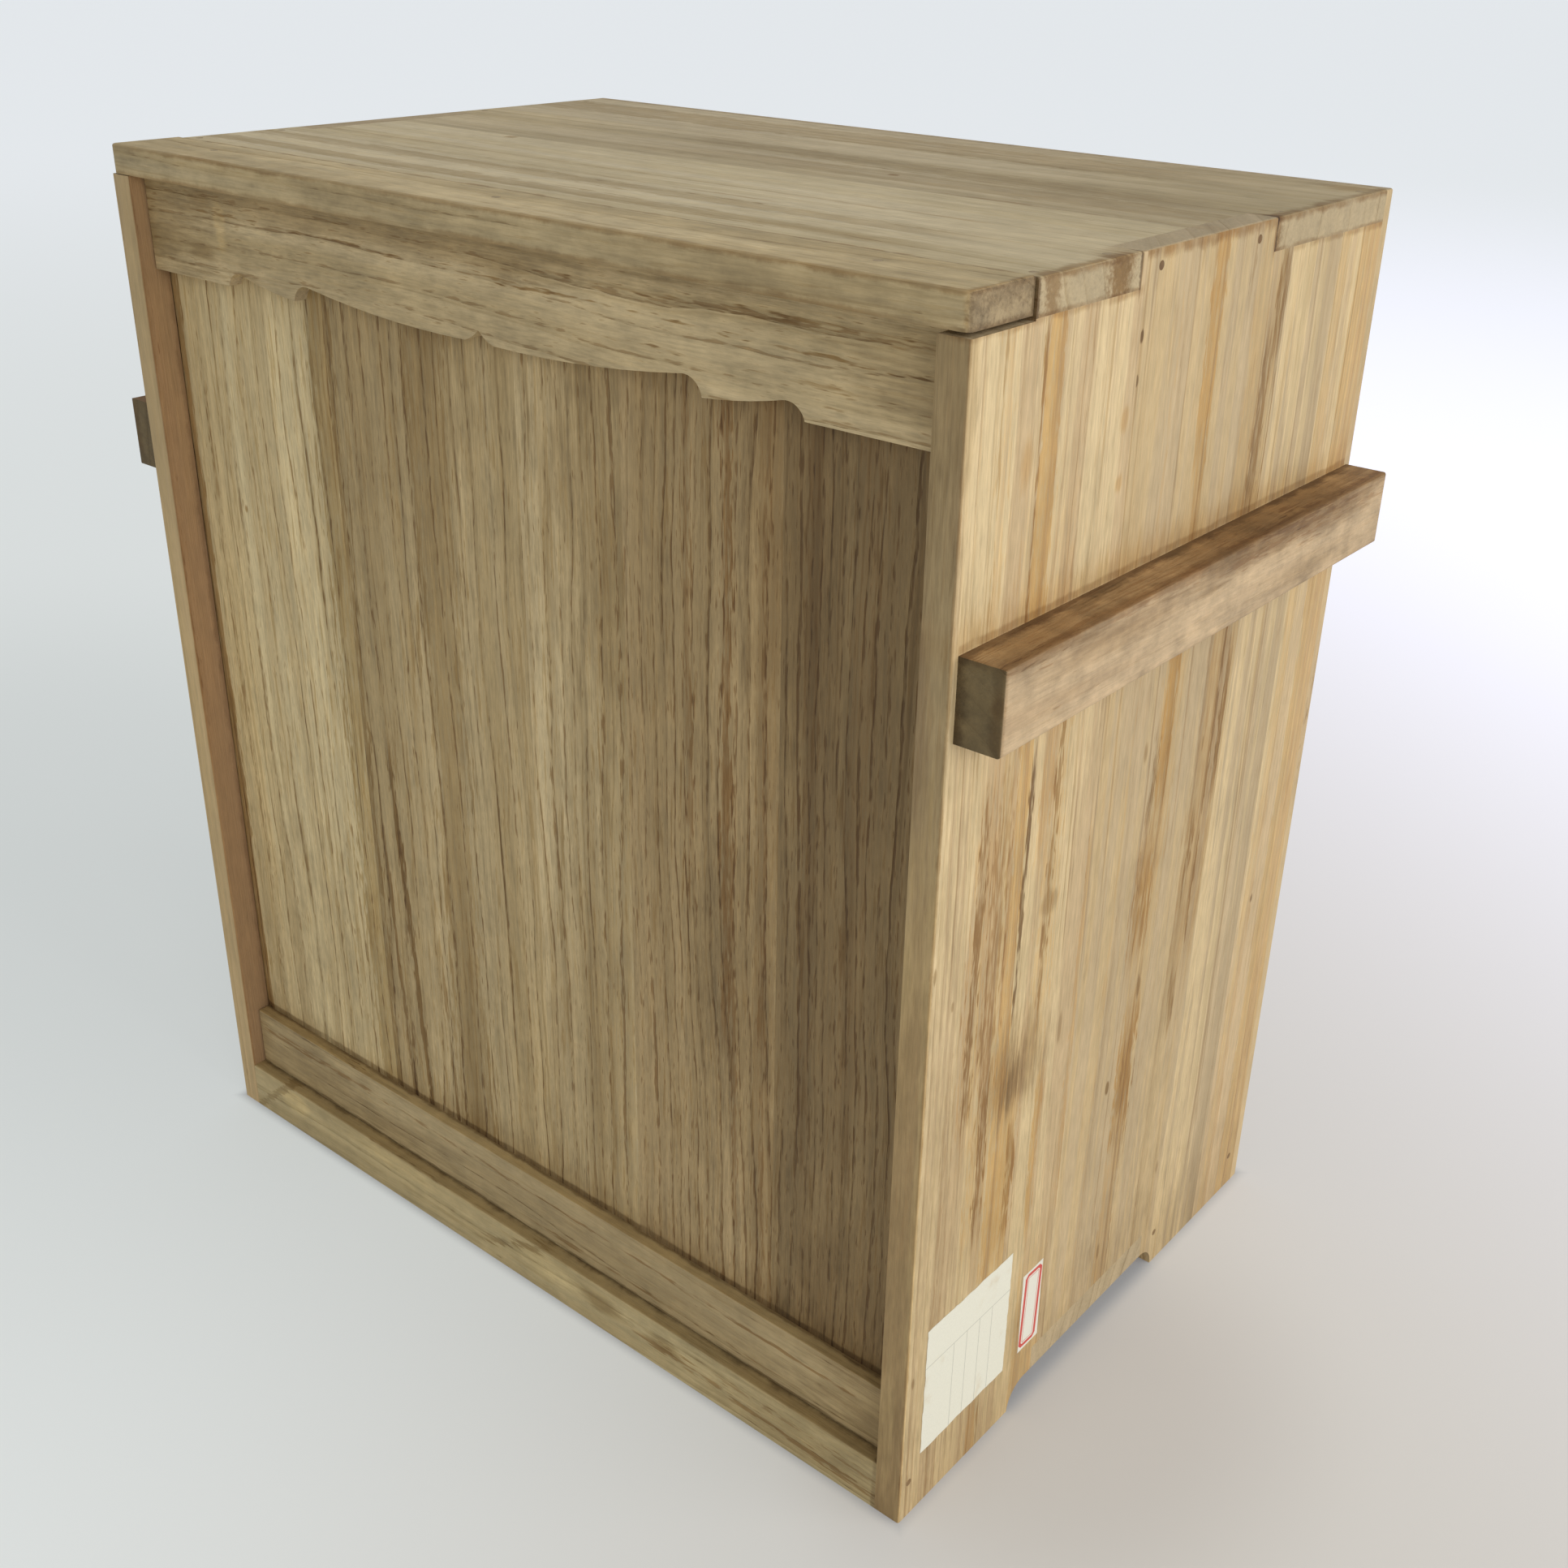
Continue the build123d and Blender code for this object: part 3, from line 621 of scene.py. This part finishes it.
def dress_lid():
    """The lid's planks from left to right, then its cap, valance and batten."""
    # a dark line just above the batten: soil with painted shade in the crease
    foot = [(48.2, 1.4, -200, 200, 0.75, 0.2)]
    # soil with painted shade low down by the batten and at the top under the valance, and painted
    # shade on the left, cast by the left side
    low_soil_and_shade = ((0.0, 44.0), (600.0, 16.0), 0.50, 0.7)
    left_side_shade = ((-110.0, 85.0), (45.0, 70.0), 0.42, 0.9)
    head_soil_and_shade = ((0.0, 382.0), (600.0, 28.0), 0.30, 0.8)
    # pith, ring spacing, pale and deep tint, ring lines, pore rows and stains of each plank
    rows = [
        # the first plank: pale, wide grain, a brown band near its right edge
        ((-500, 60), 7.6, srgb(246, 225, 174), srgb(208, 185, 137), 0.75, 0.55, [
            (PALE_SPOT, {"patches": [((-155.0, 195.0), (14.0, 85.0), 0.50, 0.9)]}),
            (RING, {"streaks": from_edge(LID_LEFT, [(85.0, 6.0, BELOW, END, 0.85, 2.2, 0.15),
                                                    (72.0, 1.2, BELOW, 300, 0.45, 0.8, 0.3),
                                                    (60.0, 0.9, BELOW, 260, 0.45, 0.8, 0.4)])}),
            (BROWN, {"streaks": from_edge(LID_LEFT, [(1.6, 3.4, BELOW, END, 0.85, 0.8, 0.1),
                                                     (14.0, 0.8, 280, 330, 0.7, 0.8, 0.6)]),
                     "patches": [((-158.5, 284.0), (1.0, 5.0), 0.6),
                                 ((-141.4, 279.0), (0.9, 1.6), 0.9)]}),
        ]),
        # the second: a brown band, and dark lines that lean at its foot
        ((-420, 90), 6.8, srgb(214, 190, 142), srgb(182, 158, 112), 0.80, 0.55, [
            (SOIL, {"patches": [((-52.0, 350.0), (38.0, 75.0), 0.42, 0.8)]}),
            (RING, {"streaks": from_edge(LID_LEFT, [(85.0, 6.0, BELOW, END, 0.85, 2.2, 0.15),
                                                    (138.0, 9.0, BELOW, END, 0.62, 3.2, 0.15),
                                                    (104.0, 4.0, 200, END, 0.25, 2.2, 0.3),
                                                    (120.0, 1.5, BELOW, END, 0.40, 1.0, 0.4)])}),
            (UMBER, {"streaks": [(-59.0, 1.6, 0, 200, 1.0, 0.7, 0.0, 0.055),
                                 (-70.0, 1.0, BELOW, 170, 0.9, 0.6, 0.1, 0.045),
                                 (-44.0, 1.0, BELOW, 120, 0.8, 0.6, 0.2, 0.04)]}),
        ]),
        ((500, 40), 5.6, srgb(230, 207, 159), srgb(180, 156, 111), 0.80, 0.60, [
            (SOIL, {"patches": [((46.0, 325.0), (28.0, 85.0), 0.70, 0.8),
                                ((22.0, 120.0), (26.0, 60.0), 0.30, 0.9)]}),
            (RING, {"streaks": from_edge(LID_LEFT, [(206.0, 3.0, BELOW, 250, 0.35, 1.1, 0.4),
                                                    (192.0, 2.0, 120, END, 0.35, 1.1, 0.4),
                                                    (220.0, 6.5, BELOW, 320, 0.50, 1.5, 0.2)])}),
        ]),
        # the fourth: closer grain, greyish brown low down on the right
        ((420, 60), 4.4, srgb(203, 176, 129), srgb(170, 145, 102), 0.70, 0.65, [
            (BROWN, {"streaks": from_edge(LID_LEFT, [(267.5, 1.8, 150, END, 0.85, 1.2, 0.3),
                                                     (274.0, 1.0, 60, 240, 0.7, 0.9, 0.3, 0.02),
                                                     (252.0, 1.2, 200, END, 0.6, 1.1, 0.4),
                                                     (283.0, 0.8, BELOW, END, 0.5, 0.8, 0.4)])}),
            (SOIL, {"streaks": [(112.0, 4.5, BELOW, END, 0.55, 1.2, 0.2)]}),
            (SOIL, {"patches": [((104.0, 180.0), (18.0, 90.0), 0.40, 0.9),
                                ((116.0, 320.0), (17.0, 80.0), 0.65, 0.8)]}),
            (DUST, {"patches": [((96.0, 165.0), (17.0, 55.0), 0.65, 0.7)]}),
        ]),
        # the fifth is the darkest, and paler at its foot
        ((-300, 40), 4.2, srgb(168, 143, 100), srgb(137, 114, 77), 0.75, 0.65, [
            (SOIL, {"patches": [((126.0, 330.0), (12.0, 70.0), 0.45, 0.8),
                                ((150.0, 55.0), (30.0, 45.0), 0.60, 0.8)]}),
            (BROWN, {"streaks": from_edge(LID_LEFT, [(300.0, 2.5, 120, END, 0.45, 1.2, 0.4),
                                                     (318.0, 4.0, 130, END, 0.35, 1.6, 0.4)])}),
            (SOIL, {"streaks": [(145.0, 40.0, 112, END, 0.18, 1.0, 0.1)]}),
        ]),
    ]
    for number, (pith, spacing, light, deep, line, pore, stains) in enumerate(rows, 1):
        shared = [(SOIL, {"patches": [low_soil_and_shade, left_side_shade, head_soil_and_shade]}), (DARK, {"lines": foot})]
        finish = plank(f"lid_wood_{number}", UPRIGHT, 20 + number, pith, spacing, light, deep,
                       line=line, rows=pore, pores=0.75, sway=5.0, ripple=1.2,
                       halo=1.5, years=0.2, tone=0.40, bands=0.10, streaks=0.12, veins=0.5,
                       smears=0.75, torn=0.14, dashes=0.10, mottle=0.07, grime=0.05,
                       inside=1, stains=[*stains, *shared])
        paint(f"lid_plank_{number}", finish)
    cap = plank("cap_wood", TRIM, 30, (330, -150), 6.0, srgb(216, 195, 151), srgb(188, 167, 124),
                line=0.45, rows=-0.1, pores=0.5, mottle=0.12, grime=0.11, smears=0.5,
                torn=0.10, end=CAP_END, end_share=0.85, end_line=0.2, stains=[
                    (SOIL, {"patches": [((397.0, 120.0), (8.0, 60.0), 0.4, 0.8),
                                        ((400.0, -40.0), (3.0, 50.0), 0.35, 0.9)]}),
                    (BROWN, {"rims": [(ACROSS, CAP_TOP, 1.3, 0.70, 0.30),
                                      (ALONG, CASE_RIGHT, 2.2, 0.85, 0.20),
                                      (THROUGH, FRONT, 1.2, 0.60, 0.40),
                                      (ACROSS, CAP_UNDER, 1.2, 0.60, 0.3)]}),
                    (DARK, {"rims": [(THROUGH, CAP_BACK - 0.3, 1.0, 0.85, 0.1)],
                            "spills": [((402.0, CASE_RIGHT), (3.5, 1.6), 0.5, 0.9),
                                       ((394.5, CASE_RIGHT), (1.6, 3.0), 0.5, 0.9)]}),
                ])
    paint("lid_cap", cap)
    blots = [((389.5, -139.0), (3.5, 10.0), 0.90, 0.7), ((372.5, -142.0), (5.0, 11.0), 0.90, 0.7),
             ((380.0, -168.0), (24.0, 40.0), 0.80, 0.8), ((366.0, -118.0), (3.0, 8.0), 0.6, 0.8)]
    valance = plank("valance_wood", TRIM, 31, (200, -60), 7.6, srgb(216, 194, 150),
                    srgb(186, 164, 120), line=0.30, rows=0.60, pores=0.62, mottle=0.12, grime=0.10,
                    tone=0.35, bands=0.05, streaks=0.04, ripple=1.2, smears=0.20, torn=0.10,
                    dashes=0.12, stains=[
                        # the first patch is painted shadow under the cap; the others are soil and
                        # dark blotches, and the last makes the right end darker
                        (SOIL, {"patches": [((391.0, -60.0), (7.0, 150.0), 0.62, 0.6), *blots,
                                            ((387.5, 12.0), (5.0, 24.0), 0.75, 0.9),
                                            ((378.0, 168.0), (16.0, 26.0), 0.55, 0.9)]}),
                        (UMBER, {"streaks": [(383.3, 0.30, -128, END, 0.95, 0.5, 0.50, 0.02),
                                             (388.5, 0.20, 20, END, 0.80, 0.4, 0.75, 0.01),
                                             (374.0, 0.20, 20, END, 0.70, 0.4, 0.80, 0.01),
                                             (389.0, 0.30, 100, END, 0.90, 0.4, 0.60)]}),
                        (PALE_SPOT, {"patches": [((382.0, -129.0), (9.0, 3.0), 0.95, 0.6)]}),
                    ])
    paint("lid_valance", valance)
    batten = plank("batten_wood", TRIM, 32, (-60, -130), 9.0, srgb(202, 180, 135),
                   srgb(179, 157, 115), line=0.30, rows=-0.1, pores=0.6, mottle=0.12, grime=0.10,
                   smears=0.4, torn=0.10, tone=0.3, bands=0.04, streaks=0.04,
                   faces=[(ACROSS, 1, BATTEN_TOP, 0.9)], stains=[
                       (SOIL, {"patches": [((26.5, -93.0), (5.0, 38.0), 0.60, 0.9),
                                           ((34.0, 170.0), (18.0, 30.0), 0.70, 0.9),
                                           ((30.0, -145.0), (20.0, 50.0), 0.60, 0.9)]}),
                       (BROWN, {"streaks": [(39.0, 0.5, -125, -105, 0.8, 0.9, 0.3),
                                            (38.8, 0.3, -104, END, 0.8, 0.5, 0.45, 0.012),
                                            (25.0, 0.3, 0, 130, 0.7, 0.5, 0.5)]}),
                       # painted shade in the gap above the rail, in the crease against the lid and
                       # at the right end by the side
                       (DARK, {"streaks": [(21.0, 0.6, -300, END, 0.7, 0.4, 0.1)],
                               "rims": [(THROUGH, LID_FACE, 1.2, 0.75, 0.1),
                                        (ALONG, CASE_INSIDE - 0.8, 2.0, 0.5, 0.3)]}),
                   ])
    paint("lid_batten", batten)


def dress_case():
    """The top, bottom and back planks, the front rail, the handles and the pegs."""
    shade = (FOOT_SHADE, {"patches": [((20.0, 165.0), (230.0, 75.0), 0.9, 0.6)]})
    right_rim = (BROWN, {"rims": [(ALONG, CASE_RIGHT, 3.4, 0.90, 0.35),
                                  (THROUGH, CASE_TOP, 1.6, 0.85, 0.3),
                                  (THROUGH, TOP_BOARD_UNDER, 1.0, 0.8, 0.4),
                                  (ACROSS, CAP_BACK, 0.8, 0.7, 0.3)]})
    finger_ends = (DARK, {"spills": [((FINGER_FRONT, CASE_RIGHT), (1.1, 4.5), 0.85, 0.5),
                                     ((FINGER_BACK, CASE_RIGHT), (1.1, 4.5), 0.85, 0.5),
                                     ((CAP_BACK, CASE_RIGHT), (1.2, 5.0), 0.85, 0.5)]})
    # the pith's place, the pale and deep tint and the stains of each plank
    tops = [
        # the front plank: pale at the back, then long dull bands towards the cap
        (-260, srgb(222, 205, 168), srgb(198, 180, 140), [
            (RING, {"streaks": [(-59.5, 4.5, -160, 130, 0.60, 1.2, 0.2),
                                (-79.0, 4.5, -160, 130, 0.65, 1.2, 0.2)]}),
            (BROWN, {"streaks": [(-35.0, 0.6, -150, 130, 0.45, 0.6, 0.4),
                                 (-49.0, 0.5, -80, 60, 0.55, 0.6, 0.6),
                                 (-92.0, 0.9, BELOW, 180, 0.75, 0.6, 0.3)],
                     "patches": [((-3.0, -106.0), (2.6, 3.2), 0.7),
                                 ((-40.0, 176.0), (14.0, 4.0), 0.4, 0.8)],
                     "spills": [((-53.0, CASE_RIGHT), (6.0, 4.5), 1.0, 0.8),
                                ((-86.0, CASE_RIGHT), (4.0, 3.5), 0.8, 0.8),
                                ((-20.0, 179.0), (16.0, 2.5), 0.8, 0.9)]}),
        ]),
        # the middle plank: a dark wavy wedge that widens to the right
        (300, srgb(204, 186, 150), srgb(180, 162, 125), [
            (PALE_SPOT, {"patches": [((46.0, -150.0), (32.0, 60.0), 0.55, 0.9)]}),
            (RING, {"streaks": [(44.0, 7.0, -49, 150, 0.55, 3.0, 0.3, 0.05),
                                (20.0, 8.0, -49, END, 0.50, 1.6, 0.3)]}),
            (BROWN, {"streaks": [(1.2, 0.7, 90, 178, 0.6, 0.8, 0.4)],
                     "patches": [((23.0, 51.0), (1.6, 2.2), 0.9)],
                     "spills": [((38.0, 181.0), (3.0, 5.0), 0.9, 0.8),
                                ((22.0, 179.0), (12.0, 2.5), 0.8, 0.9)]}),
        ]),
        (420, srgb(210, 192, 156), srgb(186, 168, 131), [
            (RING, {"streaks": [(92.0, 12.0, -130, 128, 0.70, 2.2, 0.3)]}),
            (SOIL, {"patches": [((112.0, 60.0), (7.0, 130.0), 0.35, 0.8)]}),
            (OCHRE, {"patches": [((110.0, 172.0), (8.0, 8.0), 0.5, 0.8)]}),
        ]),
    ]
    for number, (pith, pale, deep, stains) in enumerate(tops, 1):
        top = plank(f"top_wood_{number}", FLAT, 40 + number, (pith, 330), 9.0, pale, deep,
                    line=0.25, rows=-0.25, pores=0.5, sway=4.0, tone=0.5, split=0.3, bands=0.08,
                    streaks=0.06, grime=0.06, smears=0.3, torn=0.08, inside=-1,
                    stains=[*stains, shade, right_rim, finger_ends])
        paint(f"top_plank_{number}", top)
        bottom = plank(f"bottom_wood_{number}", FLAT, 44 + number, (pith, -60), 6.5, STRAW,
                       PINKISH, line=0.4, rows=0.0)
        paint(f"bottom_plank_{number}", bottom)
    for number in (1, 2, 3, 4):
        back = plank(f"back_wood_{number}", UPRIGHT, 50 + number, (-500 + 40 * number, 140), 7.0,
                     STRAW, PINKISH, line=0.6, rows=0.35, pores=0.7, split=0.4, streaks=0.09,
                     halo=1.8, ring=SOFT_RING, grime=0.05)
        paint(f"back_plank_{number}", back)
    rail = plank("rail_wood", TRIM, 60, (-30, -102), 5.5, srgb(213, 194, 146), srgb(183, 162, 116),
                 line=0.4, rows=-0.1, dip=0.03, mottle=0.12, grime=0.10, smears=0.4, torn=0.10,
                 tone=0.4, faces=[(ACROSS, 1, RAIL_TOP, 0.9)], stains=[
                     (PALE_SPOT, {"patches": [((14.0, -143.0), (5.5, 10.0), 0.9, 0.4),
                                              ((15.0, -76.0), (5.0, 32.0), 0.5, 0.7),
                                              ((13.0, 14.0), (6.0, 18.0), 0.6, 0.6)]}),
                     (SOIL, {"patches": [((12.5, 43.0), (4.5, 12.0), 0.95, 0.6),
                                         ((11.0, 76.0), (3.5, 9.0), 0.90, 0.7),
                                         ((9.0, 140.0), (14.0, 50.0), 0.50, 0.9)],
                             "streaks": [(15.7, 1.2, -20, 12, 0.95, 1.4, 0.1, -0.367),
                                         (145.9, 2.2, -200, -120, 0.75, 1.2, 0.1, -0.85)]}),
                     (BROWN, {"streaks": [(13.9, 0.8, 62, END, 0.8, 1.2, 0.2, 0.055),
                                          (17.0, 0.5, 90, END, 0.6, 0.9, 0.3, 0.03),
                                          (2.0, 0.7, -175, -90, 0.5, 0.9, 0.3, -0.05)]}),
                     # painted shade on the rail's top in the gap at the batten's foot, and darker
                     # at the right end by the side
                     (DARK, {"rims": [(THROUGH, RAIL_BACK - 2.0, 2.8, 0.8, 0.15),
                                      (ALONG, CASE_INSIDE - 0.5, 1.2, 0.6, 0.3)]}),
                 ])
    paint("front_rail", rail)
    for number, (node, sign) in enumerate((("right_handle", 1), ("left_handle", -1))):
        bar = plank(node + "_wood", BAR, 62 + number, (250, 150), 7.0, srgb(200, 174, 138),
                    srgb(178, 152, 118), line=0.3, rows=-0.2, mottle=0.12, grime=0.20, split=0.3,
                    smears=0.25, torn=0.05, dashes=0.05, faces=[(ACROSS, 1, HANDLE_TOP, 0.95)],
                    end=HANDLE_END, end_share=0.92, end_line=0.5, stains=[
                        (SOIL, {"patches": [((311.0, 45.0), (8.0, 75.0), 1.0, 0.7),
                                            ((305.0, -60.0), (4.0, 36.0), 0.6, 0.9),
                                            ((293.0, 60.0), (4.0, 30.0), 0.5, 0.9)]}),
                        (SOIL, {"patches": [((313.0, -96.0), (3.5, 34.0), 0.7, 0.9)]}),
                        (BROWN, {"streaks": [(309.0, 1.8, 5, 90, 0.7, 2.0, 0.4),
                                             (305.5, 0.8, 60, 118, 0.6, 1.6, 0.4),
                                             (310.5, 0.7, -100, 0, 0.5, 1.4, 0.5)]}),
                        (BROWN, {"rims": [(ACROSS, BAR_TOP, 1.8, 0.7, 0.6),
                                          (THROUGH, sign * BAR_FACE, 2.4, 0.75, 0.35),
                                          (ALONG, BAR_FRONT, 1.2, 0.5, 0.4)]}),
                        (DARK, {"rims": [(THROUGH, sign * CASE_RIGHT, 3.0, 0.80, 0.20)]}),
                    ])
        paint(node, bar)
    peg = plank("peg_wood", SIDE, 66, (0, 0), 3.0, srgb(150, 120, 80), srgb(120, 92, 60))
    for node in ("side_pegs", "top_pegs", "back_pegs", "lid_cap_pegs"):
        paint(node, peg)


# A sheet's cells along each edge, its gap to the wood in metres, and its thickness
PAPER_CELLS = 40
PAPER_GAP = 0.00003
PAPER_THICKNESS = 0.12


def cut_paper(node, wave, tilt_deg=0.0):
    """A thin sheet of paper stuck on the right side, with slightly uneven edges."""
    low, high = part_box(node)
    deep = high[Z] - low[Z]
    wide = high[Y] - low[Y] - deep * math.sin(math.radians(tilt_deg))
    middle = (low[X] + PAPER_GAP, (low[Y] + high[Y]) / 2, (low[Z] + high[Z]) / 2)
    bpy.ops.object.select_all(action="DESELECT")
    turn = (math.pi / 2, -math.radians(tilt_deg), math.pi / 2)
    bpy.ops.mesh.primitive_grid_add(x_subdivisions=PAPER_CELLS, y_subdivisions=PAPER_CELLS,
                                    size=1.0, location=middle, rotation=turn)
    sheet = bpy.context.object
    sheet.name = node + "_sheet"
    sheet.scale = (wide, deep, 1.0)
    bpy.ops.object.transform_apply(location=True, rotation=True, scale=True)
    for axis in ("Y", "Z"):
        ripple = bpy.data.textures.new(f"{node}_{axis}_wave", "CLOUDS")
        ripple.noise_scale = 0.004 if axis == "Y" else 0.0045
        edge = sheet.modifiers.new(f"uneven_{axis}", "DISPLACE")
        edge.texture = ripple
        edge.texture_coords = "LOCAL"
        edge.direction = axis
        edge.strength = wave * MM
        bpy.ops.object.modifier_apply(modifier=edge.name)
    body = sheet.modifiers.new("thickness", "SOLIDIFY")
    body.thickness = PAPER_THICKNESS * MM
    body.offset = 1.0
    bpy.ops.object.modifier_apply(modifier=body.name)
    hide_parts(node)
    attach(sheet, "case")
    return sheet, middle


def paper(name, tint, middle, tilt_deg=0.0):
    """Old paper: faint fibres and blots. Also gives the place on the sheet from its middle."""
    finish = Finish(name)
    in_mm = finish.scaled(finish.object_place, IN_MM, [-1000.0 * part for part in middle])
    _, y, z = finish.axes(in_mm)
    cos, sin = math.cos(math.radians(tilt_deg)), math.sin(math.radians(tilt_deg))
    y, z = y * cos - z * sin, z * cos + y * sin
    fibres = (finish.noise(in_mm, (1.2, 0.9, 1.4), 3.0, detail=4.0) - 0.5) * NOISE_SPREAD
    blots = (finish.noise(in_mm, (0.10, 0.09, 0.08), 5.0, detail=4.0) - 0.5) * NOISE_SPREAD
    colour = finish.mix(tint, PAPER_BLOT, blots.step(0.3, 1.3) * 0.5)
    light = fibres * 0.02 + 1.0
    colour = finish.mix(colour, finish.vector(light, light, light), 1.0, blend="MULTIPLY")
    finish.bump(fibres, 0.03)
    return finish, colour, y, z


def ruled(value, places, half=0.12):
    """Thin rules at the given places."""
    rules = [abs(value - place).step(half + 0.1, half) for place in places]
    total = rules[0]
    for rule in rules[1:]:
        total = total.most(rule)
    return total


def dress_labels():
    """Two blank paper labels: one with faint rules, one with a plain red border."""
    sheet, middle = cut_paper("large_paper_label", 0.9)
    finish, colour, y, z = paper("cream_paper", CREAM_PAPER, middle)
    columns = ruled(y, (-8.5, -1.0, 6.5, 14.0)) * z.step(10.6, 10.4)
    rules = columns.most(ruled(z, (10.5,)))
    colour = finish.mix(colour, FAINT_RULE, rules * 0.45)
    finish.set(Base_Color=colour, Roughness=0.88, Specular_IOR_Level=0.25)
    sheet.data.materials.append(finish.material)

    sheet, middle = cut_paper("small_paper_label", 0.35, tilt_deg=1.5)
    finish, colour, y, z = paper("white_paper", WHITE_PAPER, middle, tilt_deg=1.5)
    inside = (5.9 - abs(y)).least(17.2 - abs(z)).least((21.2 - abs(y) - abs(z)) * 0.7)
    wide_rule = inside.step(0.5, 0.7) * inside.step(2.1, 1.9)
    thin_rule = inside.step(2.45, 2.6) * inside.step(2.95, 2.8)
    colour = finish.mix(colour, RED_BORDER, wide_rule.most(thin_rule * 0.7) * 0.95)
    finish.set(Base_Color=colour, Roughness=0.88, Specular_IOR_Level=0.25)
    sheet.data.materials.append(finish.material)


def add_lamp(name, lamp):
    data = bpy.data.lights.new(name, "AREA")
    data.energy = lamp["watts"]
    data.color = lamp["colour"]
    data.size = lamp["size"] * MM
    piece = bpy.data.objects.new(name, data)
    bpy.context.scene.collection.objects.link(piece)
    place = [value * MM for value in lamp["place"]]
    aim = [value * MM for value in LAMP_AIM]
    away = [a - b for a, b in zip(place, aim)]
    piece.location = place
    flat = math.hypot(away[0], away[1])
    piece.rotation_euler = (math.atan2(flat, away[2]), 0.0, math.atan2(away[0], -away[1]))


def light_the_scene():
    scene = bpy.context.scene
    scene.view_settings.view_transform = "Standard"
    world = bpy.data.worlds.new("soft_light")
    scene.world = world
    world.use_nodes = True
    nodes, link = world.node_tree.nodes, world.node_tree.links.new
    light = nodes["Background"]
    light.inputs["Color"].default_value = (*WORLD_COLOUR, 1.0)
    light.inputs["Strength"].default_value = WORLD_LEVEL
    # the camera sees a backdrop as pale as the far floor
    backdrop = nodes.new("ShaderNodeBackground")
    backdrop.inputs["Color"].default_value = BACKDROP_COLOUR
    rays = nodes.new("ShaderNodeLightPath")
    both = nodes.new("ShaderNodeMixShader")
    link(rays.outputs["Is Camera Ray"], both.inputs["Fac"])
    link(light.outputs[0], both.inputs[1])
    link(backdrop.outputs[0], both.inputs[2])
    link(both.outputs[0], nodes["World Output"].inputs["Surface"])
    add_lamp("window", WINDOW)
    add_lamp("grazing", GRAZING)


def lay_floor():
    """A wide pale floor that reaches past the frame's upper edge.

    The camera sees a pale floor that gets whiter towards the back and the right, with painted
    shadows beside and under the box and a painted warm shade to its right. The object is lit by the
    same pale floor.
    """
    bpy.ops.mesh.primitive_plane_add(size=60, location=(0, 0, 0))
    floor = bpy.context.object
    floor.name = "floor"
    finish = Finish("pale_floor")
    x, y, _ = finish.axes(finish.scaled(finish.object_place, IN_MM, NO_SHIFT))
    rays = finish.node("LightPath", {}, {}).socket.node.outputs
    seen = Value(finish, rays["Is Camera Ray"]).most(Value(finish, rays["Is Glossy Ray"]))
    seen = seen.most(Value(finish, rays["Is Transmission Ray"]))
    away = (x * x + y * y) ** 0.5
    # the floor right of the box gets the painted warm shade
    glow = finish.mix(FLOOR_LEFT_GLOW, FLOOR_WARM_SHADE_GLOW, (x + y * 0.5).step(-250.0, 250.0))
    # painted shadows by the right side's foot and left of the box
    for tint, (at_x, at_y), (wide, deep) in (
            (FLOOR_SHADE_GLOW, (205.0, -40.0), (70.0, 90.0)),
            (FLOOR_LEFT_SHADOW_GLOW, (-420.0, -20.0), (420.0, 260.0))):
        off = ((x - at_x) / wide, (y - at_y) / deep)
        off = (off[0] * off[0] + off[1] * off[1]) ** 0.5
        glow = finish.mix(glow, tint, off.step(1.5, 0.4))
    glow = finish.mix(glow, FLOOR_BACK_GLOW, (x * 0.45 + y).step(0.0, 1200.0))
    glow = finish.mix(glow, FLOOR_FAR_GLOW, away.step(500.0, 3500.0))
    # painted shadow under the box, with a soft edge round its foot
    outside = (abs(x) - CASE_RIGHT).most(abs(y) - HALF_DEPTH)
    glow = finish.mix(glow, FLOOR_UNDER_SHADOW_GLOW, outside.step(5.0, -3.0) * 0.9)
    colour = finish.mix(FLOOR_BOUNCE, FLOOR_TINT, seen)
    glow = finish.mix((0.0, 0.0, 0.0, 1.0), glow, seen)
    finish.set(Base_Color=colour, Roughness=0.9, Specular_IOR_Level=0.2, Emission_Color=glow,
               Emission_Strength=1.0)
    floor.data.materials.append(finish.material)


def set_camera():
    data = bpy.data.cameras.new("view")
    data.lens = LENS
    data.sensor_width = SENSOR
    data.shift_x, data.shift_y = SHIFT
    data.clip_end = 100
    camera = bpy.data.objects.new("view", data)
    camera.location = [value * MM for value in CAMERA_PLACE]
    camera.rotation_euler = Euler([math.radians(turn) for turn in CAMERA_TURN_DEG])
    bpy.context.scene.collection.objects.link(camera)
    bpy.context.scene.camera = camera


set_camera()
light_the_scene()
lay_floor()
dress_right_side()
dress_left_side()
dress_lid()
dress_case()
dress_labels()
